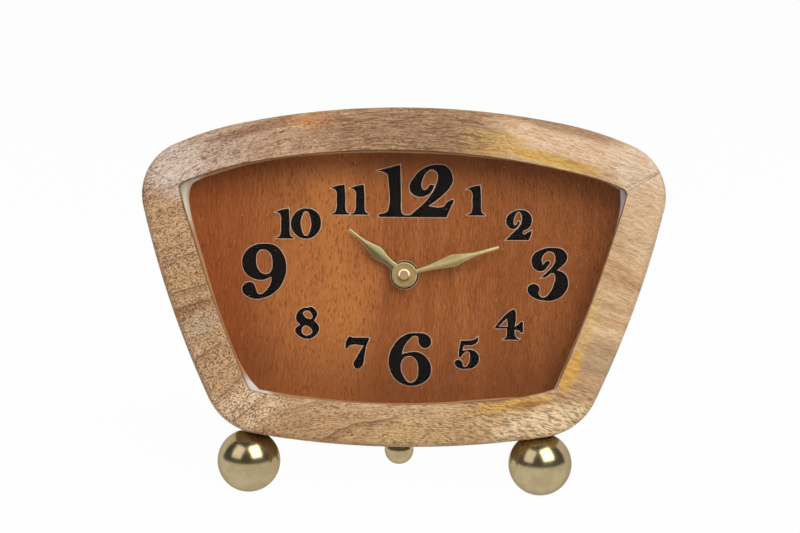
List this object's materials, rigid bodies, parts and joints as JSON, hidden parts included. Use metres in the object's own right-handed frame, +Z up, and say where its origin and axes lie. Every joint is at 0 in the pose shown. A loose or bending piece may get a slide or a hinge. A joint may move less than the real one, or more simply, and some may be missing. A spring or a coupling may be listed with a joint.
{
  "type": "mantel clock",
  "caption": "Mantel clock: bowed trapezoid hardwood case with glazed dial, leaning back on three brass ball feet; quartz movement with geared hands.",
  "frame": {"origin": "on the table, under the middle of the clock's bounding box", "axes": "+X to the clock's right as seen from the front, +Y from the dial to the back, +Z up; the case leans back about the X axis"},
  "size_m": [0.2556, 0.107, 0.1884],
  "materials": {
    "mango": "mango wood, sanded and clear waxed",
    "beech": "beech veneer, stained orange brown",
    "fibreboard": "plain fibreboard",
    "clear_glass": "clear float glass",
    "spacer_card": "pale painted spacer strip",
    "polished_brass": "polished pale brass plate",
    "brushed_brass": "brushed sheet brass",
    "turned_brass": "turned brass, plain",
    "steel": "bright zinc-plated steel",
    "black_plastic": "moulded black plastic, fine texture",
    "white_plastic": "natural acetal gears",
    "black_rubber": "black rubber washer",
    "copper": "enamelled copper wire",
    "magnet": "ferrite magnet",
    "circuit": "green circuit laminate",
    "epoxy": "black epoxy",
    "battery_wrap": "printed-free battery sleeve"
  },
  "bodies": {
    "case": {"top_rail": "mango", "right_rail": "mango", "bottom_rail": "mango", "left_rail": "mango", "front_glass": "clear_glass", "dial_spacer": "spacer_card", "dial_veneer": "beech", "dial_board": "fibreboard", "framers_points": "steel", "front_foot_left": "polished_brass", "front_foot_right": "polished_brass", "rear_foot": "polished_brass", "foot_studs": "steel", "dial_washer": "turned_brass", "dial_nut": "turned_brass", "rubber_washer": "black_rubber", "threaded_bush": "turned_brass", "movement_case": "black_plastic", "movement_cover": "black_plastic", "middle_plate": "white_plastic", "stator": "steel", "coil_bobbin": "white_plastic", "coil_winding": "copper", "circuit_board": "circuit", "timing_chip": "epoxy", "quartz_crystal": "steel", "battery": "battery_wrap", "positive_contact": "steel", "negative_contact": "steel"},
    "minute_arbor": {"minute_shaft": "turned_brass", "minute_hand": "brushed_brass", "minute_nut": "turned_brass"},
    "hour_arbor": {"hour_wheel": "white_plastic", "hour_hand": "brushed_brass"},
    "motion_arbor": {"motion_wheel": "white_plastic"},
    "setting_arbor": {"setting_stem": "white_plastic", "setting_knob": "black_plastic"},
    "centre_arbor": {"centre_wheel": "white_plastic"},
    "third_arbor": {"third_wheel": "white_plastic"},
    "seconds_arbor": {"seconds_wheel": "white_plastic"},
    "intermediate_arbor": {"intermediate_wheel": "white_plastic"},
    "rotor_arbor": {"rotor_pinion": "white_plastic", "rotor_magnet": "magnet"}
  },
  "joints": [
    {"name": "minute_hand_turn", "type": "hinge", "parent": "case", "child": "minute_arbor", "pos_m": [0.00085, -0.01129, 0.10426], "axis": [0, 0.984, -0.1782], "continuous": true},
    {"name": "hour_hand_turn", "type": "hinge", "parent": "case", "child": "hour_arbor", "pos_m": [0.00085, -0.01267, 0.10451], "axis": [0, 0.984, -0.1782], "continuous": true},
    {"name": "motion_wheel_turn", "type": "hinge", "parent": "case", "child": "motion_arbor", "pos_m": [-0.00954, -0.01022, 0.11017], "axis": [0, 0.984, -0.1782], "continuous": true},
    {"name": "setting_knob_turn", "type": "hinge", "parent": "case", "child": "setting_arbor", "pos_m": [-0.01348, -0.0083, 0.1208], "axis": [0, 0.984, -0.1782], "continuous": true},
    {"name": "rotor_turn", "type": "hinge", "parent": "case", "child": "rotor_arbor", "pos_m": [0.00366, -0.00147, 0.11919], "axis": [0, 0.984, -0.1782], "continuous": true},
    {"name": "intermediate_wheel_turn", "type": "hinge", "parent": "case", "child": "intermediate_arbor", "pos_m": [-0.00071, -0.00282, 0.11174], "axis": [0, 0.984, -0.1782], "continuous": true},
    {"name": "seconds_wheel_turn", "type": "hinge", "parent": "case", "child": "seconds_arbor", "pos_m": [0.00085, -0.00578, 0.10326], "axis": [0, 0.984, -0.1782], "continuous": true},
    {"name": "third_wheel_turn", "type": "hinge", "parent": "case", "child": "third_arbor", "pos_m": [0.0097, -0.00743, 0.10986], "axis": [0, 0.984, -0.1782], "continuous": true},
    {"name": "centre_wheel_turn", "type": "hinge", "parent": "case", "child": "centre_arbor", "pos_m": [0.00085, -0.00991, 0.10401], "axis": [0, 0.984, -0.1782], "continuous": true}
  ],
  "couplings": [
    {"joint": "hour_hand_turn", "follows": "minute_hand_turn", "ratio": 0.083333},
    {"joint": "motion_wheel_turn", "follows": "minute_hand_turn", "ratio": -0.33333},
    {"joint": "setting_knob_turn", "follows": "minute_hand_turn", "ratio": 1.2},
    {"joint": "intermediate_wheel_turn", "follows": "rotor_turn", "ratio": -0.16667},
    {"joint": "seconds_wheel_turn", "follows": "rotor_turn", "ratio": 0.033333},
    {"joint": "third_wheel_turn", "follows": "rotor_turn", "ratio": -0.0044444},
    {"joint": "centre_wheel_turn", "follows": "rotor_turn", "ratio": 0.00055556}
  ]
}
